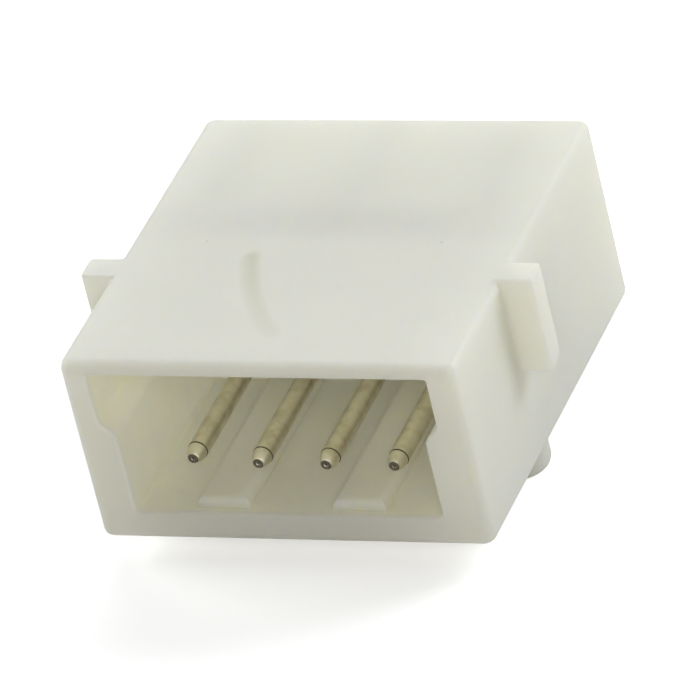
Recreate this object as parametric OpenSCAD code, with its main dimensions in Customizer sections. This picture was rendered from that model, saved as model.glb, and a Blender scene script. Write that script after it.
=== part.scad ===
// Pin housing of a cable connector, with its row of crimp contacts. All sizes are in millimetres.
// X runs along the row of contacts, Y runs from the mouth to the rear, and Z is up.
// The origin is under the middle of the housing, level with the ends of its pegs.

/* [Contact row] */
// Distance between neighbouring contacts
pitch = 4.5; // [4.4:0.05:5.2]
// Height of the row above the underside of the box
row_height = 4.55; // [4.4:0.05:4.8]
// How far the pin tips stand behind the mouth
tip_setback = 2.15; // [1:0.05:3]

/* [Housing box] */
// Height of the box, without its pegs
box_height = 13.2; // [12.6:0.1:15]
// Length of the box from mouth to rear
box_length = 27.9; // [26.5:0.1:32]
// From the middle of an end contact to the side of the box
end_margin = 6.25; // [6:0.05:7]
// Radius of the box's upper long edges
top_edge_r = 0.6; // [0.3:0.05:1]
// Radius of the box's lower long edges, beside the pegs
bottom_edge_r = 0.6; // [0.2:0.05:0.6]
// Radius of the outer edges round the mouth
mouth_edge_r = 0.9; // [0.4:0.05:1.2]
// Radius of the outer edges round the rear
rear_edge_r = 0.7; // [0.3:0.05:1]

/* [Mating cavity] */
// Depth of the cavity behind the mouth
cavity_depth = 14.5; // [13:0.5:16]
// Thickness of the roof over the cavity
roof_wall = 0.7; // [0.6:0.05:1.2]
// Thickness of the floor under the cavity
floor_wall = 2.2; // [1.4:0.05:2.4]
// Thickness of the side walls beside the upper part of the cavity
side_wall = 1.8; // [1.4:0.05:2.1]
// How far the keying steps stand in from the side walls
key_step = 1; // [0.6:0.05:1.2]
// Height of the keying steps above the cavity's floor, up to their slope
key_height = 5.7; // [5:0.1:6.5]
// Width of the ribs on the cavity's floor
rib_width = 3.5; // [2:0.1:3.8]
// Height of the ribs on the cavity's floor
rib_height = 0.8; // [0.4:0.1:1.2]
// How far the ribs start behind the mouth
rib_setback = 0.7; // [0.3:0.1:2]

/* [Ears and pegs] */
// How far the ears stand out from the sides
ear_reach = 2; // [1.5:0.1:3.5]
// Thickness of the ears
ear_thickness = 2; // [1.5:0.1:3]
// Height of the ears, down from the top of the box
ear_height = 6.7; // [4:0.1:8]
// Distance from the mouth to the front of the ears
ear_front = 9.7; // [8:0.1:12]
// Radius of the ears' outer edges
ear_edge_r = 0.3; // [0.1:0.05:0.6]
// Radius of the fillets where the ears meet the sides
ear_fillet_r = 0.3; // [0.2:0.05:1]
// Diameter of the pegs under the box
peg_d = 4; // [3.8:0.1:4.2]
// Height of the pegs
peg_height = 1.6; // [1.4:0.1:3]
// Length of the tapered end of the pegs
peg_taper = 0.4; // [0.3:0.1:1]
// Diameter at the end of the pegs
peg_end_d = 3.7; // [2:0.1:3.7]
// Distance from the side of the box to the side of a peg
peg_inset = 0.25; // [0.25:0.05:1]
// Distance from the mouth to the middle of the pegs
peg_middle = 11.25; // [9:0.05:13]

/* [Contact channels] */
// Length of the wide bore in front of the shoulder, for the tangs
relief_length = 3; // [2.8:0.1:4]
// Length of the shoulder that holds a contact
shoulder_length = 1.2; // [1:0.1:2]
// Widening of the channel where it opens at the rear
entry_chamfer = 0.35; // [0.1:0.05:0.4]
// Clearance round a contact's body in its shoulder
shoulder_clearance = 0.1; // [0.05:0.01:0.2]
// Clearance round a contact's tangs
tang_clearance = 0.1; // [0.05:0.01:0.2]
// Clearance round a contact's insulation barrel
channel_clearance = 0.2; // [0.1:0.05:0.3]
// How far a contact can slide back before its tangs stop it
end_play = 0.4; // [0.2:0.05:0.5]

/* [Rear cores] */
// Depth of the hollows cored out from the rear
core_depth = 10.5; // [6:0.5:11]
// Wall between the cores and the channels, and between two cores
core_web = 1.1; // [0.8:0.05:1.3]
// Roof over the cores
core_roof = 1.3; // [1:0.05:1.4]
// Width of the core beside each end channel
side_core_width = 1.4; // [0.8:0.1:1.6]
// Floor under the side cores
core_floor = 2.2; // [1.5:0.1:3]

/* [Crimp contact] */
// Diameter of the pin
pin_d = 1.3; // [1:0.05:1.4]
// Length of the tapered nose of the pin
nose_length = 1.2; // [0.8:0.1:2]
// Diameter of the flat end of the nose
nose_end_d = 0.68; // [0.5:0.02:0.8]
// Thickness of the sheet that the contact is rolled from
sheet = 0.3; // [0.2:0.01:0.32]
// Diameter of the hole left in the flat end of the nose
nose_hole_d = 0.2; // [0.1:0.02:0.3]
// Width of the seam along the rolled pin
seam_width = 0.06; // [0.04:0.01:0.1]
// Diameter of the rolled body behind the pin
body_d = 1.9; // [1.8:0.05:2.1]
// How far the pin's swell to the body starts in front of the shoulder
body_front = 2.7; // [2.5:0.1:2.8]
// Diameter of the collar that stops on the shoulder
collar_d = 2.7; // [2.5:0.05:2.9]
// Thickness of the collar
collar_thickness = 0.5; // [0.3:0.05:0.8]
// Diameter across the sprung tangs
tang_d = 2.7; // [2.5:0.05:2.9]
// Width of a tang
tang_width = 0.7; // [0.4:0.05:0.8]
// Length of a tang
tang_length = 1.5; // [1.2:0.05:1.7]
// Distance between the collar, the wire barrel and the insulation barrel
neck_length = 0.8; // [0.6:0.1:1]
// Outer diameter of the wire barrel
wire_barrel_d = 2.5; // [2.2:0.05:2.7]
// Length of the wire barrel
wire_barrel_length = 2.5; // [2:0.1:3]
// Outer diameter of the insulation barrel
insulation_barrel_d = 3.3; // [3:0.05:3.5]
// Length of the insulation barrel
insulation_barrel_length = 2; // [1.5:0.1:2.3]
// Gap left between the folded wings of the barrels
wing_gap = 0.5; // [0.2:0.05:0.8]

/* [Hidden] */
ways = 4;
$fn = 64;

// Reach of a cutting tool past the surface that it opens
past = 1;
// Slope where the body swells from the pin, and length of its plain end behind the collar
swell_length = 0.4;
tail_length = 0.6;
// Slit cut round a tang, and how deep its root lies in the faces of the wall
tang_slit = 0.1;
tang_bury = 0.04;
// Where each contact sits in its end play: 0 is forward on its collar, 1 is back on its tangs
seats = [1, 0, 0, 0];

row_half = (ways - 1) / 2 * pitch;
box_width = 2 * (row_half + end_margin);
cavity_half = box_width / 2 - side_wall;
ceiling = box_height - roof_wall;
slope_low = floor_wall + key_height;
slope_top = slope_low + key_step;

// Stations along Y, from the mouth
shoulder_front = cavity_depth + relief_length;
seat_y = shoulder_front + shoulder_length;
peg_x = box_width / 2 - peg_inset - peg_d / 2;

shoulder_bore = body_d + 2 * shoulder_clearance;
relief_bore = tang_d + 2 * tang_clearance;
channel_bore = insulation_barrel_d + 2 * channel_clearance;

// Stations along a contact, from the front face of its collar towards the wire
tip_z = tip_setback - seat_y;
swell_z = -shoulder_length - body_front;
tang_end = -shoulder_length - end_play;
tang_root = tang_end - tang_length;
tail_z = collar_thickness + tail_length;
wire_front = tail_z + neck_length;
wire_back = wire_front + wire_barrel_length;
insulation_front = wire_back + neck_length;
insulation_back = insulation_front + insulation_barrel_length;

// Puts the construction, which starts at the mouth and the underside, on the origin
module on_origin() {
    translate([0, -box_length / 2, peg_height]) children();
}

// Extrudes a profile drawn in X and Z from y0 to y1
module along_y(y0, y1) {
    translate([0, y1, 0]) rotate([90, 0, 0]) linear_extrude(y1 - y0) children();
}

// Rectangle from the origin, with one radius at each corner, counter-clockwise from the first
module round_rectangle(width, height, radii) {
    corners = [[0, 0], [width, 0], [width, height], [0, height]];
    inward = [[1, 1], [-1, 1], [-1, -1], [1, -1]];
    difference() {
        square([width, height]);
        for (k = [0:3]) translate(corners[k]) square(2 * radii[k], center = true);
    }
    for (k = [0:3]) translate(corners[k] + radii[k] * inward[k]) circle(radii[k]);
}

// The closed block, with every outer edge rounded
module block() {
    front = mouth_edge_r;
    rear = rear_edge_r;
    intersection() {
        along_y(0, box_length)
            translate([-box_width / 2, 0])
                round_rectangle(box_width, box_height,
                                [bottom_edge_r, bottom_edge_r, top_edge_r, top_edge_r]);
        rotate([90, 0, 90]) translate([0, 0, -box_width])
            linear_extrude(2 * box_width)
                round_rectangle(box_length, box_height, [front, rear, rear, front]);
        translate([-box_width / 2, 0, -past])
            linear_extrude(box_height + 2 * past)
                round_rectangle(box_width, box_length, [front, front, rear, rear]);
    }
}

// Stop ear on the +X side, flush with the top of the box
module ear() {
    root = box_width / 2 - side_wall / 2;
    side = box_width / 2;
    translate([0, ear_front, box_height - ear_height]) linear_extrude(ear_height) {
        translate([root, 0])
            round_rectangle(side + ear_reach - root, ear_thickness, [for (k = [0:3]) ear_edge_r]);
        for (end = [0, 1]) translate([side, end * ear_thickness]) mirror([0, 1 - end]) difference() {
            square(ear_fillet_r);
            translate([ear_fillet_r, ear_fillet_r]) circle(ear_fillet_r);
        }
    }
}

// Locating peg on the +X side, with a tapered end
module peg() {
    translate([peg_x, peg_middle, 0]) {
        translate([0, 0, peg_taper - peg_height])
            cylinder(h = peg_height - peg_taper + floor_wall / 2, d = peg_d);
        translate([0, 0, -peg_height]) cylinder(h = peg_taper, d1 = peg_end_d, d2 = peg_d);
    }
}

// Outline of the mating cavity, stepped in below so that a plug enters only one way up
module cavity_outline() {
    low_half = cavity_half - key_step;
    polygon([
        [-low_half, floor_wall], [low_half, floor_wall], [low_half, slope_low],
        [cavity_half, slope_top], [cavity_half, ceiling], [-cavity_half, ceiling],
        [-cavity_half, slope_top], [-low_half, slope_low]
    ]);
}

// Ribs on the cavity's floor, in the gaps on either side of the middle gap
module floor_ribs() {
    for (x = [-pitch, pitch])
        translate([x - rib_width / 2, rib_setback, floor_wall / 2])
            cube([rib_width, cavity_depth - rib_setback + relief_length / 2, floor_wall / 2 + rib_height]);
}

// Everything that is bored for one contact, turned about its axis
module channel() {
    rotate([-90, 0, 0]) rotate_extrude() polygon([
        [0, cavity_depth - past], [relief_bore / 2, cavity_depth - past],
        [relief_bore / 2, shoulder_front], [shoulder_bore / 2, shoulder_front],
        [shoulder_bore / 2, seat_y], [channel_bore / 2, seat_y],
        [channel_bore / 2, box_length - entry_chamfer],
        [channel_bore / 2 + entry_chamfer + past, box_length + past], [0, box_length + past]
    ]);
}

// Hollows that keep the rear walls even: two over the channels and one beside each end channel
module rear_cores() {
    low = row_height + channel_bore / 2 + core_web;
    outer = row_half + channel_bore / 2;
    front = box_length - core_depth;
    for (side = [0, 1]) mirror([side, 0, 0]) {
        translate([core_web / 2, front, low])
            cube([outer - core_web / 2, core_depth + past, box_height - core_roof - low]);
        translate([outer + core_web, front, core_floor])
            cube([side_core_width, core_depth + past, box_height - core_roof - core_floor]);
    }
}

// One-piece moulded housing
module housing() {
    color([0.93, 0.92, 0.88]) on_origin() {
        difference() {
            union() {
                block();
                for (side = [0, 1]) mirror([side, 0, 0]) {
                    ear();
                    peg();
                }
            }
            difference() {
                along_y(-past, cavity_depth) cavity_outline();
                floor_ribs();
            }
            for (i = [1:ways]) translate([contact_x(i), 0, row_height]) channel();
            rear_cores();
        }
    }
}

function contact_x(i) = (i - 1) * pitch - row_half;

// Wall of the whole contact before its slots are cut: nose, pin, body, collar and barrels.
// Heights run from the collar's front face towards the wire.
module contact_wall() {
    pin_r = pin_d / 2;
    body_r = body_d / 2;
    wire_r = wire_barrel_d / 2;
    insulation_r = insulation_barrel_d / 2;
    rotate_extrude() polygon([
        [nose_end_d / 2, tip_z], [pin_r, tip_z + nose_length],
        [pin_r, swell_z], [body_r, swell_z + swell_length],
        [body_r, 0], [collar_d / 2, 0],
        [collar_d / 2, collar_thickness], [body_r, collar_thickness],
        [body_r, tail_z], [wire_r, wire_front], [wire_r, wire_back],
        [insulation_r, insulation_front], [insulation_r, insulation_back],
        [insulation_r - sheet, insulation_back], [insulation_r - sheet, insulation_front],
        [wire_r - sheet, wire_back], [wire_r - sheet, wire_front], [body_r - sheet, tail_z],
        [body_r - sheet, swell_z + swell_length], [pin_r - sheet, swell_z],
        [pin_r - sheet, tip_z + nose_length],
        [nose_hole_d / 2, tip_z + sheet], [nose_hole_d / 2, tip_z]
    ]);
}

// Slot of the given width through the underside of the rolled wall
module underside_slot(width, z0, z1) {
    translate([-width / 2, 0, z0]) cube([width, insulation_barrel_d, z1 - z0]);
}

// Cut that leaves only the top strip of the wall between two barrels
module neck_cut(z0, z1) {
    translate([-insulation_barrel_d, -body_d / 4, z0])
        cube([2 * insulation_barrel_d, 2 * insulation_barrel_d, z1 - z0]);
}

// Window in the +X side of the body, from which a tang is bent out
module tang_window() {
    width = tang_width + 2 * tang_slit;
    translate([body_d / 4, -width / 2, tang_root])
        cube([body_d, width, tang_length + tang_slit]);
}

// Tang on the +X side, rooted in the wall and sprung out towards the shoulder
module tang() {
    outside = body_d / 2 - tang_bury;
    inside = body_d / 2 - sheet + tang_bury;
    rotate([90, 0, 0]) linear_extrude(tang_width, center = true) polygon([
        [inside, tang_root - sheet], [outside, tang_root - sheet],
        [tang_d / 2, tang_end], [tang_d / 2 - sheet, tang_end]
    ]);
}

// Crimp contact, stamped and rolled from one strip of sheet
module contact(i) {
    place = [contact_x(i), seat_y + seats[i - 1] * end_play, row_height];
    color([0.66, 0.62, 0.48]) on_origin() translate(place) rotate([-90, 0, 0]) {
        difference() {
            contact_wall();
            underside_slot(seam_width, tip_z - past, tail_z);
            neck_cut(tail_z, wire_front);
            underside_slot(wing_gap, wire_front, wire_back);
            neck_cut(wire_back, insulation_front);
            underside_slot(wing_gap, insulation_front, insulation_back + past);
            for (side = [0, 1]) mirror([side, 0, 0]) tang_window();
        }
        for (side = [0, 1]) mirror([side, 0, 0]) tang();
    }
}

housing();
for (i = [1:ways]) contact(i);
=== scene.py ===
import math

import bmesh
import bpy
from mathutils import Matrix, Vector


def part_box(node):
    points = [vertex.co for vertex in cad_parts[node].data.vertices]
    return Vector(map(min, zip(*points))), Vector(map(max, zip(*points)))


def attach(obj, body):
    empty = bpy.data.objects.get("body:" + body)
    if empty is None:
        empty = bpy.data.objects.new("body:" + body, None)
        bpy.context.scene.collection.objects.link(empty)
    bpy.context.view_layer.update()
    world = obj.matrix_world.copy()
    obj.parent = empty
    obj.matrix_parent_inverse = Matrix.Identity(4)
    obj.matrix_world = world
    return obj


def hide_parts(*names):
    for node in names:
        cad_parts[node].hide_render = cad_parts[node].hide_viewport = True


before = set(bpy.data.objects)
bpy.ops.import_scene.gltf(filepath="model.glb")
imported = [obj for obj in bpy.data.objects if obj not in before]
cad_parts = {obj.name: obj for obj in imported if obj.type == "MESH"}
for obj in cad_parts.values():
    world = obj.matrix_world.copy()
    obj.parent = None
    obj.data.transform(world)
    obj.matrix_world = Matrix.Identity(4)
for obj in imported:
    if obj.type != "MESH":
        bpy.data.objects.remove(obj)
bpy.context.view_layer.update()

# Housing: the outer block
# One moulding in natural nylon. It starts as a closed block, and all of its outer edges are
# rounded as the mould's are. It is modelled in millimetres and scaled to metres last.
MM = 0.001
TINY, MERGE = 0.01, 0.0005
PEG_HEIGHT = 1.6
EAR_REACH = 2.0
TOP_EDGE, BOTTOM_EDGE, MOUTH_EDGE, REAR_EDGE = 0.6, 0.6, 0.9, 0.7
housing_low, housing_high = (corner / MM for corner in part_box("housing"))
mouth_y, rear_y = housing_low.y, housing_high.y
underside_z, top_z = PEG_HEIGHT, housing_high.z
side_x = housing_high.x - EAR_REACH


def only(piece):
    """Makes piece the one selected, active object, in object mode."""
    if bpy.context.object and bpy.context.object.mode != "OBJECT":
        bpy.ops.object.mode_set(mode="OBJECT")
    bpy.ops.object.select_all(action="DESELECT")
    piece.select_set(True)
    bpy.context.view_layer.objects.active = piece


def new_piece(name):
    """Names the primitive just added and puts its place in its mesh."""
    piece = bpy.context.object
    piece.name = piece.data.name = name
    only(piece)
    bpy.ops.object.transform_apply(location=True, rotation=True, scale=True)
    return piece


def add_box(name, low, high):
    """Box between two opposite corners."""
    bpy.ops.object.select_all(action="DESELECT")
    centre = [(a + b) / 2 for a, b in zip(low, high)]
    size = [b - a for a, b in zip(low, high)]
    bpy.ops.mesh.primitive_cube_add(size=1, location=centre, scale=size)
    return new_piece(name)


def edit(piece, kind, test):
    """Goes into edit mode with only the edges, faces or vertices that pass the test selected."""
    only(piece)
    bpy.ops.object.mode_set(mode="EDIT")
    bpy.ops.mesh.select_mode(type=kind)
    bpy.ops.mesh.select_all(action="DESELECT")
    mesh = bmesh.from_edit_mesh(piece.data)
    mesh.normal_update()
    parts = {"EDGE": mesh.edges, "FACE": mesh.faces, "VERT": mesh.verts}[kind]
    for part in [part for part in parts if test(part)]:
        part.select_set(True)
    mesh.select_flush_mode()
    bmesh.update_edit_mesh(piece.data)


def done():
    """Goes back to object mode."""
    bpy.ops.object.mode_set(mode="OBJECT")


def round_edges(piece, radius, segments, test):
    """Rounds the edges that pass the test."""
    edit(piece, "EDGE", test)
    bpy.ops.mesh.bevel(offset=radius, segments=segments, profile=0.5, affect="EDGES",
                       clamp_overlap=False)
    done()


def apply_modifier(piece, kind, **settings):
    """Adds a modifier with the given settings and applies it."""
    only(piece)
    modifier = piece.modifiers.new(kind.title(), kind)
    for key, value in settings.items():
        setattr(modifier, key, value)
    bpy.ops.object.modifier_apply(modifier=modifier.name)


def combine(piece, operation, tool):
    """Joins tool to piece (UNION) or cuts it out (DIFFERENCE), and removes the tool."""
    apply_modifier(piece, "BOOLEAN", operation=operation, object=tool, solver="EXACT")
    bpy.data.objects.remove(tool)


def along(edge, axis):
    """Whether an edge runs along an axis: 0 is X, 1 is Y and 2 is Z."""
    a, b = (v.co for v in edge.verts)
    return abs(abs((b - a).normalized()[axis]) - 1) < TINY


def middle(edge):
    return (edge.verts[0].co + edge.verts[1].co) / 2


def near(value, target, reach=TINY):
    return abs(value - target) < reach


housing = add_box("housing_moulding", (-side_x, mouth_y, underside_z), (side_x, rear_y, top_z))
weights = housing.data.attributes.new("bevel_weight_edge", "FLOAT", "EDGE")
for edge in housing.data.edges:
    ends = [housing.data.vertices[i].co for i in edge.vertices]
    centre = (ends[0] + ends[1]) / 2
    if near(centre.y, mouth_y):
        weights.data[edge.index].value = MOUTH_EDGE
    elif near(centre.y, rear_y):
        weights.data[edge.index].value = REAR_EDGE
    else:
        weights.data[edge.index].value = TOP_EDGE if near(centre.z, top_z) else BOTTOM_EDGE
apply_modifier(housing, "BEVEL", width=1, segments=8, limit_method="WEIGHT",
               use_clamp_overlap=False)

# Housing: stop ears and locating pegs
# Moulded in one with the block. The ears stop it against the rear of a bracket that the mouth
# passes through, and have filleted roots. The pegs stand in holes. All have broken edges.
EAR_FRONT, EAR_THICKNESS, EAR_HEIGHT = 9.7, 2.0, 6.7
EAR_EDGE, EAR_RIM, EAR_FILLET = 0.3, 0.15, 0.3
PEG_D, PEG_END_D, PEG_TAPER, PEG_INSET, PEG_MIDDLE = 4.0, 3.7, 0.4, 0.25, 11.25
PEG_ROOT, PEG_EDGE = 0.9, 0.1
ear_y, ear_z = mouth_y + EAR_FRONT, top_z - EAR_HEIGHT
peg_y = mouth_y + PEG_MIDDLE
peg_x = side_x - PEG_INSET - PEG_D / 2


def add_cylinder(name, radius, x, y, low_z, high_z, sides=64):
    """Upright cylinder on x and y, between two heights."""
    bpy.ops.object.select_all(action="DESELECT")
    bpy.ops.mesh.primitive_cylinder_add(vertices=sides, radius=radius, depth=high_z - low_z,
                                        location=(x, y, (low_z + high_z) / 2))
    return new_piece(name)


def faces_down(face):
    return face.normal.z < -0.9


for side in (1, -1):
    root_x = side_x - 1.5 * TOP_EDGE
    ends = sorted((side * root_x, side * (side_x + EAR_REACH)))
    ear = add_box("ear", (ends[0], ear_y, ear_z), (ends[1], ear_y + EAR_THICKNESS, top_z))
    round_edges(ear, EAR_EDGE, 5, lambda e: along(e, 2) and abs(middle(e).x) > side_x)
    round_edges(ear, EAR_RIM, 3, lambda e: middle(e).z > top_z - TINY
                and abs(middle(e).x) > root_x + TINY)
    for face_y, way in ((ear_y, -1), (ear_y + EAR_THICKNESS, 1)):
        ys = sorted((face_y - way * TINY, face_y + way * EAR_FILLET))
        xs = sorted((side * (side_x - EAR_FILLET), side * (side_x + EAR_FILLET)))
        fillet = add_box("fillet", (xs[0], ys[0], ear_z), (xs[1], ys[1], top_z - 1.5 * EAR_RIM))
        combine(fillet, "DIFFERENCE", add_cylinder(
            "scoop", EAR_FILLET, side * (side_x + EAR_FILLET), face_y + way * EAR_FILLET,
            ear_z - 1, top_z + 1))
        combine(ear, "UNION", fillet)
    combine(housing, "UNION", ear)
    peg = add_cylinder("peg", PEG_D / 2, side * peg_x, peg_y, PEG_TAPER, underside_z + PEG_ROOT, 96)
    edit(peg, "FACE", faces_down)
    bpy.ops.mesh.extrude_region_move(TRANSFORM_OT_translate={"value": (0, 0, -PEG_TAPER)})
    bpy.ops.transform.resize(value=(PEG_END_D / PEG_D, PEG_END_D / PEG_D, 1),
                             center_override=(side * peg_x, peg_y, 0))
    done()
    round_edges(peg, PEG_EDGE, 3, lambda e: max(v.co.z for v in e.verts) < TINY)
    combine(housing, "UNION", peg)

# Housing: mating cavity
# The core of the mould leaves an open cavity with a thin roof, keying steps low at both sides,
# and two ribs on its floor. The plug of the mating connector slides in over the pins.
CAVITY_DEPTH, ROOF, FLOOR, SIDE_WALL = 14.5, 0.7, 2.2, 1.8
KEY_STEP, KEY_HEIGHT = 1.0, 5.7
PITCH = 4.5
RIB_WIDTH, RIB_HEIGHT, RIB_SETBACK, RIB_EDGE = 3.5, 0.8, 0.7, 0.6
CORE_EDGE, RIM_EDGE = 0.3, 0.2
RIM_DEPTH, RIM_TOP_GAP, RIM_SIDE = 0.06, 0.05, 1.4
cavity_y = mouth_y + CAVITY_DEPTH
cavity_x = side_x - SIDE_WALL
low_x = cavity_x - KEY_STEP
floor_z, ceiling_z = underside_z + FLOOR, top_z - ROOF
slope_z = floor_z + KEY_HEIGHT
core = add_box("core", (-cavity_x, mouth_y - 2, slope_z + KEY_STEP),
               (cavity_x, cavity_y, ceiling_z))
edit(core, "FACE", faces_down)
bpy.ops.mesh.extrude_region_move(TRANSFORM_OT_translate={"value": (0, 0, -KEY_STEP)})
bpy.ops.transform.resize(value=(low_x / cavity_x, 1, 1), center_override=(0, 0, 0))
bpy.ops.mesh.extrude_region_move(TRANSFORM_OT_translate={"value": (0, 0, floor_z - slope_z)})
done()
round_edges(core, CORE_EDGE, 4, lambda e: along(e, 1)
            or min(v.co.y for v in e.verts) > cavity_y - TINY)
for x in (-PITCH, PITCH):
    rib = add_box("rib", (x - RIB_WIDTH / 2, mouth_y + RIB_SETBACK, floor_z - 1),
                  (x + RIB_WIDTH / 2, cavity_y + 1, floor_z + RIB_HEIGHT))
    round_edges(rib, RIB_EDGE, 6, lambda e: middle(e).z > floor_z and middle(e).y < cavity_y)
    combine(core, "DIFFERENCE", rib)
combine(housing, "DIFFERENCE", core)


def on_rim(edge):
    """Whether an edge lies at the mouth, on the floor's or a side wall's inner edge."""
    place = middle(edge)
    at_mouth = max(v.co.y for v in edge.verts) < mouth_y + RIM_DEPTH
    inside = (abs(place.x) < cavity_x + TINY
              and floor_z - TINY < place.z < ceiling_z - RIM_TOP_GAP)
    at_side = near(abs(place.x), cavity_x, RIM_SIDE)
    return at_mouth and inside and (at_side or near(place.z, floor_z))


round_edges(housing, RIM_EDGE, 4, on_rim)

# Housing: contact channels and rear cores
# Each contact is pushed in from the rear through a stepped bore, with a chamfered entry. Hollows
# over and beside the bores keep the walls even.
ROW_HEIGHT = 4.55
RELIEF_LENGTH, SHOULDER_LENGTH, ENTRY_CHAMFER = 3.0, 1.2, 0.35
RELIEF_R, SHOULDER_R, CHANNEL_R = 1.45, 1.05, 1.85
CORE_DEPTH, CORE_WEB, CORE_ROOF, CORE_FLOOR, SIDE_CORE = 10.5, 1.1, 1.3, 2.2, 1.4
HOLLOW_EDGE = 0.25
row_z = underside_z + ROW_HEIGHT
row_half = 1.5 * PITCH
shoulder_y = cavity_y + RELIEF_LENGTH
seat_y = shoulder_y + SHOULDER_LENGTH
contact_xs = [(i - 1.5) * PITCH for i in range(4)]


def walk_ring(name, stations, sides=64):
    """Draws a turned skin on the Y axis, extruding a ring through (radius, y) stations."""
    radius, y = stations[0]
    bpy.ops.object.select_all(action="DESELECT")
    bpy.ops.mesh.primitive_circle_add(vertices=sides, radius=radius, fill_type="NOTHING",
                                      location=(0, y, 0), rotation=(math.pi / 2, 0, 0))
    piece = new_piece(name)
    edit(piece, "EDGE", lambda e: True)
    for next_radius, next_y in stations[1:]:
        bpy.ops.mesh.extrude_region_move(TRANSFORM_OT_translate={"value": (0, next_y - y, 0)})
        share = next_radius / radius
        bpy.ops.transform.resize(value=(share, 1, share), center_override=(0, next_y, 0))
        radius, y = next_radius, next_y
    done()
    return piece


def cap_ends(piece):
    """Closes the two open rings of a turned skin and turns its faces outwards."""
    edit(piece, "EDGE", lambda e: e.is_boundary)
    bpy.ops.mesh.edge_face_add()
    bpy.ops.mesh.select_all(action="SELECT")
    bpy.ops.mesh.normals_make_consistent(inside=False)
    done()


def copy_at(piece, offset):
    """Copies a piece with its own mesh, moved by offset."""
    twin = piece.copy()
    twin.data = piece.data.copy()
    bpy.context.scene.collection.objects.link(twin)
    twin.data.transform(Matrix.Translation(offset))
    return twin


borer = walk_ring("borer", [
    (RELIEF_R, cavity_y - 1), (RELIEF_R, shoulder_y),
    (SHOULDER_R, shoulder_y), (SHOULDER_R, seat_y),
    (CHANNEL_R, seat_y), (CHANNEL_R, rear_y - ENTRY_CHAMFER),
    (CHANNEL_R + ENTRY_CHAMFER + 1, rear_y + 1)])
cap_ends(borer)
for x in contact_xs:
    combine(housing, "DIFFERENCE", copy_at(borer, (x, 0, row_z)))
bpy.data.objects.remove(borer)
over_z = row_z + CHANNEL_R + CORE_WEB
beside_x = row_half + CHANNEL_R
for side in (1, -1):
    for inner, outer, low_z in ((CORE_WEB / 2, beside_x, over_z),
                                (beside_x + CORE_WEB, beside_x + CORE_WEB + SIDE_CORE,
                                 underside_z + CORE_FLOOR)):
        xs = sorted((side * inner, side * outer))
        hollow = add_box("hollow", (xs[0], rear_y - CORE_DEPTH, low_z),
                         (xs[1], rear_y + 1, top_z - CORE_ROOF))
        round_edges(hollow, HOLLOW_EDGE, 4, lambda e: middle(e).y < rear_y)
        combine(housing, "DIFFERENCE", hollow)

# Housing: the marks of handling and moulding
# A shallow bowed dent, with shade painted darker into it, runs slantwise over the cavity's roof.
# There are two pinholes behind it. The roof's mesh is made fine round the dent, so it can follow
# the bow.
DENT_FROM, DENT_TO = (-4.30, -2.04), (-0.14, -10.10)
DENT_HALF_WIDTH, DENT_DEPTH, DENT_BOW = 0.75, 0.12, -0.45
DENT_START, DENT_LOSS = 1.1, 0.6
PINHOLES = ((7.83, -0.22), (-7.87, -0.32))
PINHOLE_R, PINHOLE_DEPTH = 0.12, 0.1
FINE_LOW, FINE_HIGH, FINE_CUTS = (-6.2, -11.6), (1.2, -0.4), 60


def on_roof(face):
    return face.normal.z > 0.999 and face.calc_center_median().z > top_z - TINY


def in_fine_part(face):
    middle_x, middle_y, _ = face.calc_center_median()
    return FINE_LOW[0] < middle_x < FINE_HIGH[0] and FINE_LOW[1] < middle_y < FINE_HIGH[1]


for x, y in PINHOLES:
    combine(housing, "DIFFERENCE", add_cylinder(
        "needle", PINHOLE_R, x, y, top_z - PINHOLE_DEPTH, top_z + 1, 16))
for axis in (0, 1):
    for place in (FINE_LOW[axis], FINE_HIGH[axis]):
        edit(housing, "FACE", on_roof)
        point, normal = [0, 0, top_z], [0, 0, 0]
        point[axis], normal[axis] = place, 1
        bpy.ops.mesh.bisect(plane_co=point, plane_no=normal)
        done()
edit(housing, "FACE", lambda f: on_roof(f) and in_fine_part(f))
bpy.ops.mesh.subdivide(number_cuts=FINE_CUTS)
done()
edit(housing, "VERT", lambda v: True)
bpy.ops.mesh.remove_doubles(threshold=MERGE)
done()
run = Vector(DENT_TO) - Vector(DENT_FROM)
dent_shade = housing.data.attributes.new("dent_shade", "FLOAT", "POINT")
for vertex in housing.data.vertices:
    if near(vertex.co.z, top_z, 0.001):
        offset = Vector(vertex.co.xy) - Vector(DENT_FROM)
        t = offset.dot(run) / run.length_squared
        across = (offset.x * run.y - offset.y * run.x) / run.length
        across += DENT_BOW * 4 * t * (1 - t)
        beyond = max(0.0, -t, t - 1) * run.length
        reach = math.hypot(across, beyond) / DENT_HALF_WIDTH
        if reach < 1:
            fade = DENT_START - DENT_LOSS * min(max(t, 0), 1)
            vertex.co.z -= DENT_DEPTH * (1 - reach ** 2) ** 2 * fade
            # Painted shade: the dent's colour darkens most where the dent is deepest.
            dent_shade.data[vertex.index].value = (1 - reach ** 2) * fade

only(housing)
bpy.ops.object.shade_smooth_by_angle(angle=math.radians(35))
apply_modifier(housing, "WEIGHTED_NORMAL", keep_sharp=True)
only(housing)
housing.scale = (MM, MM, MM)
bpy.ops.object.transform_apply(location=False, rotation=False, scale=True)

# Nylon: pale and slightly warm, with light passing a little way into it. It has the fine satin
# grain of the mould and faint clouding. Deeper inside, a warmer, brighter colour is painted glow
# that stands in for the light that comes through the walls and bounces in the cavity.


def new_material(name):
    """Makes a material, and gives it back with its nodes, its links and its shader."""
    material = bpy.data.materials.new(name)
    material.use_nodes = True
    tree = material.node_tree
    return material, tree.nodes, tree.links, tree.nodes["Principled BSDF"]


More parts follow.
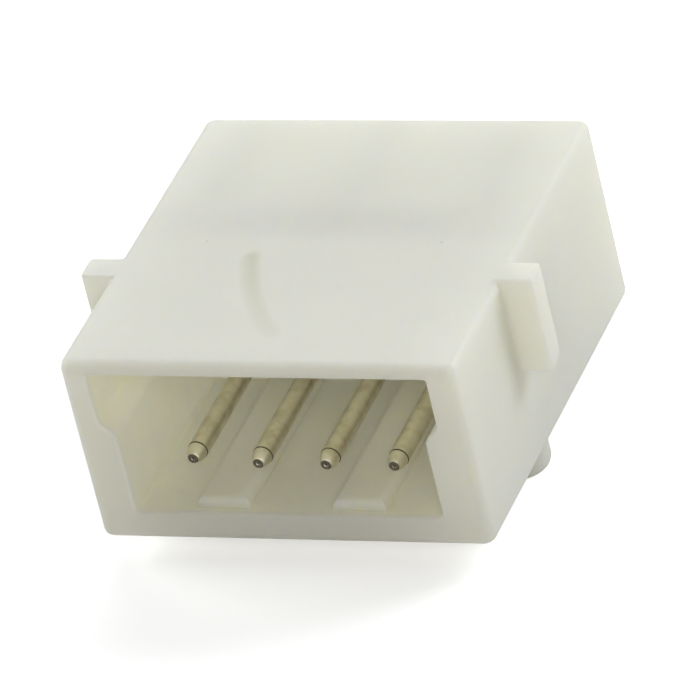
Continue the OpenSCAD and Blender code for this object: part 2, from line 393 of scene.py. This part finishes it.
def math_node(nodes, links, kind, first, second=None, clamp=False):
    node = nodes.new("ShaderNodeMath")
    node.operation = kind
    node.use_clamp = clamp
    for socket, value in zip(node.inputs, (first, second)):
        if hasattr(value, "links"):
            links.new(value, socket)
        elif value is not None:
            socket.default_value = value
    return node.outputs[0]


def ramp(nodes, links, value, low, high, to_low=0.0, to_high=1.0):
    """Takes a value smoothly from low and high to to_low and to_high."""
    node = nodes.new("ShaderNodeMapRange")
    node.interpolation_type = "SMOOTHSTEP"
    links.new(value, node.inputs["Value"])
    for socket, number in (
            ("From Min", low), ("From Max", high), ("To Min", to_low), ("To Max", to_high)):
        node.inputs[socket].default_value = number
    return node.outputs["Result"]


def noise(nodes, links, place, size, detail=2.0, stretch=(1, 1, 1)):
    """Noise whose features are about size millimetres across, stretched along the axes."""
    mapping = nodes.new("ShaderNodeMapping")
    mapping.inputs["Scale"].default_value = [1 / (size * MM * part) for part in stretch]
    links.new(place, mapping.inputs["Vector"])
    texture = nodes.new("ShaderNodeTexNoise")
    texture.inputs["Scale"].default_value = 1.0
    texture.inputs["Detail"].default_value = detail
    links.new(mapping.outputs["Vector"], texture.inputs["Vector"])
    return texture.outputs["Fac"]


def mix_colour(nodes, links, factor, first, second):
    node = nodes.new("ShaderNodeMix")
    node.data_type = "RGBA"
    links.new(factor, node.inputs["Factor"])
    for socket, value in (("A", first), ("B", second)):
        slot = [s for s in node.inputs if s.name == socket and s.type == "RGBA"][0]
        if hasattr(value, "links"):
            links.new(value, slot)
        else:
            slot.default_value = (*value, 1)
    return [s for s in node.outputs if s.type == "RGBA"][0]


def bump(nodes, links, shader, heights):
    """Adds up (height, depth in millimetres) pairs into one bump."""
    total = None
    for height, depth in heights:
        part = math_node(nodes, links, "MULTIPLY", height, depth * MM)
        total = part if total is None else math_node(nodes, links, "ADD", total, part)
    node = nodes.new("ShaderNodeBump")
    node.inputs["Strength"].default_value = 1.0
    node.inputs["Distance"].default_value = 1.0
    links.new(total, node.inputs["Height"])
    links.new(node.outputs["Normal"], shader.inputs["Normal"])


# The inside colour is painted glow: brighter and warmer than the outside, for light through the
# walls.
NYLON_OUTSIDE, NYLON_PAINTED_GLOW = (0.875, 0.885, 0.88), (0.985, 0.965, 0.81)
SHEER_TINT, SHEER_OUTSIDE, SHEER_INSIDE = (0.96, 0.94, 0.83), 0.48, 0.28
NYLON_CLOUD, DENT_SHADE_COLOUR = (0.86, 0.865, 0.84), (0.70, 0.705, 0.67)
SKIN_THIN, SKIN_DEEP = 0.1, 0.65
nylon, nodes, links, shader = new_material("natural_nylon")
place = nodes.new("ShaderNodeTexCoord").outputs["Object"]
split = nodes.new("ShaderNodeSeparateXYZ")
links.new(place, split.inputs[0])
inside_share = None
for axis, centre, half in (
        ("X", 0, side_x), ("Y", 0, rear_y),
        ("Z", (underside_z + top_z) / 2, (top_z - underside_z) / 2)):
    offset = math_node(nodes, links, "SUBTRACT", split.outputs[axis], centre * MM)
    distance = math_node(nodes, links, "ABSOLUTE", offset)
    share = ramp(nodes, links, distance, (half - SKIN_DEEP) * MM, (half - SKIN_THIN) * MM, 1.0, 0.0)
    if inside_share is not None:
        share = math_node(nodes, links, "MULTIPLY", inside_share, share)
    inside_share = share
# Painted glow: the colour turns brighter and warmer away from the outer skin.
body = mix_colour(nodes, links, inside_share, NYLON_OUTSIDE, NYLON_PAINTED_GLOW)
clouds = ramp(nodes, links, noise(nodes, links, place, 4.0, 3.0), 0.35, 0.65, 0.0, 0.5)
clouds_and_painted_light = mix_colour(nodes, links, clouds, body, NYLON_CLOUD)
# Painted shade in the dent, darkest where it is deepest.
dent_shade_node = nodes.new("ShaderNodeAttribute")
dent_shade_node.attribute_name = "dent_shade"
clouds_and_painted_light = mix_colour(nodes, links, dent_shade_node.outputs["Fac"], clouds_and_painted_light, DENT_SHADE_COLOUR)
links.new(clouds_and_painted_light, shader.inputs["Base Color"])
satin = ramp(nodes, links, noise(nodes, links, place, 1.5), 0.3, 0.7, 0.42, 0.52)
links.new(satin, shader.inputs["Roughness"])
shader.inputs["Subsurface Weight"].default_value = 1.0
shader.inputs["Subsurface Radius"].default_value = (1.0, 0.9, 0.6)
shader.inputs["Subsurface Scale"].default_value = 0.0015
bump(nodes, links, shader, (
    (noise(nodes, links, place, 0.12), 0.004), (noise(nodes, links, place, 2.5), 0.02)))
sheer = nodes.new("ShaderNodeBsdfTranslucent")
sheer.inputs["Color"].default_value = (*SHEER_TINT, 1)
blend = nodes.new("ShaderNodeMixShader")
sheer_share = ramp(nodes, links, inside_share, 0.0, 1.0, SHEER_OUTSIDE, SHEER_INSIDE)
links.new(sheer_share, blend.inputs["Fac"])
links.new(shader.outputs[0], blend.inputs[1])
links.new(sheer.outputs[0], blend.inputs[2])
links.new(blend.outputs[0], nodes["Material Output"].inputs["Surface"])
housing.data.materials.clear()
housing.data.materials.append(nylon)
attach(housing, "root")
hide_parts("housing")

# Crimp contacts
# Each is one strip of tinned brass, stamped and rolled to a tube with its seam below and a blunt
# nose. It is held between its collar, on the rear face of the channel's shoulder, and two tangs
# that spring out in front of the shoulder. The two barrels behind are open for a wire.
TIP_SETBACK, PIN_R, SHEET = 2.15, 0.65, 0.3
NOSE_LENGTH, NOSE_END_R, NOSE_HOLE_R, NOSE_STEP, NOSE_BREAK = 0.85, 0.34, 0.1, 0.03, 0.015
RING_DEPTH, RING_FROM, RING_TO, RING_END = 0.08, 0.01, 0.07, 0.09
BODY_R, BODY_FRONT, SWELL, TAIL = 0.95, 2.7, 0.4, 0.6
COLLAR_R, COLLAR_THICKNESS = 1.35, 0.5
TANG_R, TANG_WIDTH, TANG_LENGTH, TANG_SLIT, TANG_EDGE = 1.35, 0.7, 1.5, 0.1, 0.05
WIRE_R, WIRE_LENGTH, WRAP_R, WRAP_LENGTH, NECK_LENGTH, WING_GAP = 1.25, 2.5, 1.65, 2.0, 0.8, 0.5
GROOVE, GROOVE_DEPTH = 0.2, 0.08
EDGE, CHAMFER, HOLE_CHAMFER, BEND, NOSE_FULLNESS = 0.05, 0.03, 0.04, 0.04, 1.7
END_PLAY, SEAM, LAP = 0.4, 0.06, 0.03
tip_y = mouth_y + TIP_SETBACK
nose_y = tip_y + NOSE_LENGTH
swell_y = seat_y - SHOULDER_LENGTH - BODY_FRONT
tail_y = seat_y + COLLAR_THICKNESS + TAIL
wire_y = tail_y + NECK_LENGTH
wire_end = wire_y + WIRE_LENGTH
wrap_y = wire_end + NECK_LENGTH
wrap_end = wrap_y + WRAP_LENGTH
tang_end = seat_y - SHOULDER_LENGTH - END_PLAY
tang_root = tang_end - TANG_LENGTH

nose = []
for k in range(9):
    t = k / 8
    radius = NOSE_END_R + (PIN_R - NOSE_STEP - NOSE_END_R) * (1 - (1 - t) ** NOSE_FULLNESS)
    nose.append((radius, tip_y + NOSE_BREAK + t * (NOSE_LENGTH - NOSE_BREAK)))
outside = [(NOSE_HOLE_R, tip_y + HOLE_CHAMFER), (NOSE_HOLE_R + CHAMFER, tip_y),
           (NOSE_END_R - NOSE_BREAK, tip_y)] + nose
outside += [
    (PIN_R - RING_DEPTH, nose_y + RING_FROM), (PIN_R - RING_DEPTH, nose_y + RING_TO),
    (PIN_R, nose_y + RING_END), (PIN_R, swell_y),
    (BODY_R - BEND, swell_y + SWELL - BEND), (BODY_R, swell_y + SWELL + BEND),
    (BODY_R, seat_y), (COLLAR_R - EDGE, seat_y), (COLLAR_R, seat_y + EDGE),
    (COLLAR_R, seat_y + COLLAR_THICKNESS - EDGE), (COLLAR_R - EDGE, seat_y + COLLAR_THICKNESS),
    (BODY_R, seat_y + COLLAR_THICKNESS), (BODY_R, tail_y), (WIRE_R, wire_y), (WIRE_R, wire_end),
    (WRAP_R, wrap_y), (WRAP_R, wrap_end - EDGE), (WRAP_R - EDGE, wrap_end)]
inside = [(WRAP_R - SHEET, wrap_end), (WRAP_R - SHEET, wrap_y), (WIRE_R - SHEET, wire_end)]
for k in (3, 2, 1):
    y = wire_y + WIRE_LENGTH * k / 4
    inside += [(WIRE_R - SHEET, y + GROOVE / 2), (WIRE_R - SHEET + GROOVE_DEPTH, y + GROOVE / 4),
               (WIRE_R - SHEET + GROOVE_DEPTH, y - GROOVE / 4), (WIRE_R - SHEET, y - GROOVE / 2)]
inside += [(WIRE_R - SHEET, wire_y), (BODY_R - SHEET, tail_y), (BODY_R - SHEET, swell_y + SWELL),
           (PIN_R - SHEET, swell_y), (PIN_R - SHEET, nose_y), (NOSE_HOLE_R, tip_y + SHEET),
           (NOSE_HOLE_R, tip_y + HOLE_CHAMFER)]
contact = walk_ring("contact", outside + inside, 48)
edit(contact, "VERT", lambda v: True)
bpy.ops.mesh.remove_doubles(threshold=MERGE)
bpy.ops.mesh.normals_make_consistent(inside=False)
done()


def slot_below(width, y0, y1):
    """Cuts the contact's underside open between two places along Y."""
    slot = add_box("slot", (-width / 2, y0, -2 * WRAP_R), (width / 2, y1, 0))
    combine(contact, "DIFFERENCE", slot)


slot_below(SEAM, tip_y - 1, tail_y + 2 * LAP)
slot_below(WING_GAP, wire_y - 2 * LAP, wire_end + 2 * LAP)
slot_below(WING_GAP, wrap_y - 2 * LAP, wrap_end + 1)
for y0, y1 in ((tail_y, wire_y), (wire_end, wrap_y)):
    combine(contact, "DIFFERENCE", add_box(
        "gap", (-2 * WRAP_R, y0 + LAP, -2 * WRAP_R), (2 * WRAP_R, y1 - LAP, BODY_R / 2)))
for side in (1, -1):
    xs = sorted((side * BODY_R / 2, side * 3 * BODY_R / 2))
    half = TANG_WIDTH / 2 + TANG_SLIT
    window = add_box("window", (xs[0], tang_root, -half), (xs[1], tang_end + TANG_SLIT, half))
    combine(contact, "DIFFERENCE", window)
    xs = sorted((side * (BODY_R - SHEET + LAP), side * (BODY_R - LAP)))
    tang = add_box("tang", (xs[0], tang_root - SHEET, -TANG_WIDTH / 2),
                   (xs[1], tang_end, TANG_WIDTH / 2))
    edit(tang, "FACE", lambda f: f.normal.y > 0.9)
    bpy.ops.transform.translate(value=(side * (TANG_R - BODY_R), 0, 0))
    done()
    round_edges(tang, TANG_EDGE, 2, lambda e: middle(e).y > tang_end - TINY)
    combine(contact, "UNION", tang)
only(contact)
bpy.ops.object.shade_smooth_by_angle(angle=math.radians(30))

BRASS, BRASS_STAIN = (0.74, 0.70, 0.58), (0.62, 0.57, 0.44)
EDGE_AND_SHADE_DARK, EDGE_AND_SHADE_LIGHT = (0.05, 0.045, 0.03), (0.16, 0.14, 0.10)
metal, nodes, links, shader = new_material("tinned_brass")
place = nodes.new("ShaderNodeTexCoord").outputs["Object"]
drawn = noise(nodes, links, place, 0.06, 2.0, (1, 60, 1))
stain = ramp(nodes, links, noise(nodes, links, place, 0.9, 3.0), 0.4, 0.7)
links.new(mix_colour(nodes, links, stain, BRASS, BRASS_STAIN), shader.inputs["Base Color"])
shader.inputs["Metallic"].default_value = 1.0
links.new(ramp(nodes, links, drawn, 0.3, 0.7, 0.3, 0.42), shader.inputs["Roughness"])
bump(nodes, links, shader, ((drawn, 0.002), (noise(nodes, links, place, 0.5), 0.006)))
# Painted shade on the contacts: the ring groove behind the nose is painted dark as shade, and the
# cut end is dark partly as a sheared edge and partly as painted shade.
cut_edge_and_shade, nodes, links, shader = new_material("sheared_edge_and_painted_shade")
place = nodes.new("ShaderNodeTexCoord").outputs["Object"]
speckle = noise(nodes, links, place, 0.08, 3.0)
edge_and_shade_colour = mix_colour(nodes, links, speckle, EDGE_AND_SHADE_DARK, EDGE_AND_SHADE_LIGHT)
links.new(edge_and_shade_colour, shader.inputs["Base Color"])
shader.inputs["Metallic"].default_value = 0.3
shader.inputs["Roughness"].default_value = 0.6
bump(nodes, links, shader, ((speckle, 0.01),))
contact.data.materials.append(metal)
contact.data.materials.append(cut_edge_and_shade)
# Painted shade: the end and the ring groove take the dark material.
for face in contact.data.polygons:
    radius = math.hypot(face.center.x, face.center.z)
    at_end = face.center.y < tip_y + TINY and radius > NOSE_HOLE_R + CHAMFER
    in_ring = nose_y < face.center.y < nose_y + RING_END and radius < PIN_R - TINY
    if at_end or in_ring:
        face.material_index = 1
for i, x in enumerate(contact_xs):
    piece = copy_at(contact, (x, END_PLAY if i == 0 else 0, row_z))
    piece.name = piece.data.name = f"crimp_contact_{i + 1}"
    only(piece)
    piece.scale = (MM, MM, MM)
    bpy.ops.object.transform_apply(location=False, rotation=False, scale=True)
    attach(piece, "root")
    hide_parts(f"contact_{i + 1}")
bpy.data.objects.remove(contact)

# Floor, lamps and camera
# A plain pale floor in a white room, lit by soft lamps. The glow of floor and room is seen
# directly, in gloss and through what lets light pass, and only a little of it lights the part.
bpy.ops.object.select_all(action="DESELECT")
bpy.ops.mesh.primitive_plane_add(size=4, location=(0, 0, 0))
floor = bpy.context.object
floor.name = "floor"
paper, nodes, links, shader = new_material("paper")
nodes.remove(shader)
diffuse = nodes.new("ShaderNodeBsdfDiffuse")
diffuse.inputs["Color"].default_value = (0.8, 0.8, 0.8, 1)
glow = nodes.new("ShaderNodeEmission")
add = nodes.new("ShaderNodeAddShader")


def seen_ray(nodes, links):
    """1 for camera, glossy and transmission rays, 0 for the rays that carry soft light."""
    path = nodes.new("ShaderNodeLightPath")
    seen = math_node(nodes, links, "MAXIMUM", path.outputs["Is Camera Ray"],
                     path.outputs["Is Glossy Ray"])
    clear = math_node(nodes, links, "SUBTRACT", path.outputs["Is Transmission Ray"],
                      path.outputs["Is Diffuse Ray"], clamp=True)
    return math_node(nodes, links, "MAXIMUM", seen, clear)


FLOOR_GLOW = 0.5
ROOM_LIGHT = 0.05
floor_glow = math_node(nodes, links, "MULTIPLY", seen_ray(nodes, links), FLOOR_GLOW)
links.new(floor_glow, glow.inputs["Strength"])
links.new(diffuse.outputs[0], add.inputs[0])
links.new(glow.outputs[0], add.inputs[1])
links.new(add.outputs[0], nodes["Material Output"].inputs["Surface"])
floor.data.materials.append(paper)

world = bpy.data.worlds.new("room")
bpy.context.scene.world = world
world.use_nodes = True
nodes, links = world.node_tree.nodes, world.node_tree.links
back = nodes["Background"]
back.inputs["Color"].default_value = (1, 1, 1, 1)
room_glow = math_node(nodes, links, "MAXIMUM", seen_ray(nodes, links), ROOM_LIGHT)
links.new(room_glow, back.inputs["Strength"])


def add_lamp(name, place, size, power, colour):
    """Round soft lamp that points at the middle of the part."""
    data = bpy.data.lights.new(name, "AREA")
    data.shape = "DISK"
    data.size = size
    data.energy = power
    data.color = colour
    lamp = bpy.data.objects.new(name, data)
    bpy.context.scene.collection.objects.link(lamp)
    lamp.location = place
    aim = Vector(LAMP_AIM) - Vector(place)
    lamp.rotation_euler = aim.to_track_quat("-Z", "Y").to_euler()


LAMP_AIM = (0, 0, 0.008)
WARM, COOL = (1, 0.97, 0.90), (0.93, 0.96, 1)
add_lamp("front", (0.25, -0.50, 0.36), 0.3, 1.35, WARM)
add_lamp("back right", (0.45, 0.40, 0.35), 0.4, 3.6, COOL)
add_lamp("back top", (-0.15, 0.45, 0.55), 0.4, 1.4, COOL)
add_lamp("left", (-0.60, 0.10, 0.30), 0.4, 2.8, COOL)

CAMERA_LENS, CAMERA_SENSOR, CAMERA_NEAR = 441.92, 36, 0.05
CAMERA_PLACE = (0.204494, -0.405197, 0.288839)
CAMERA_RIGHT, CAMERA_UP = (0.92371342, 0.32199473, -0.20754015), (-0.012741, 0.56728408, 0.82342361)
camera_data = bpy.data.cameras.new("camera")
camera_data.lens = CAMERA_LENS
camera_data.sensor_width = CAMERA_SENSOR
camera_data.clip_start = CAMERA_NEAR
camera = bpy.data.objects.new("camera", camera_data)
bpy.context.scene.collection.objects.link(camera)
right, up = Vector(CAMERA_RIGHT), Vector(CAMERA_UP)
turn = Matrix((right, up, right.cross(up))).transposed().to_4x4()
camera.matrix_world = Matrix.Translation(CAMERA_PLACE) @ turn
bpy.context.scene.camera = camera
bpy.context.scene.view_settings.view_transform = "Standard"
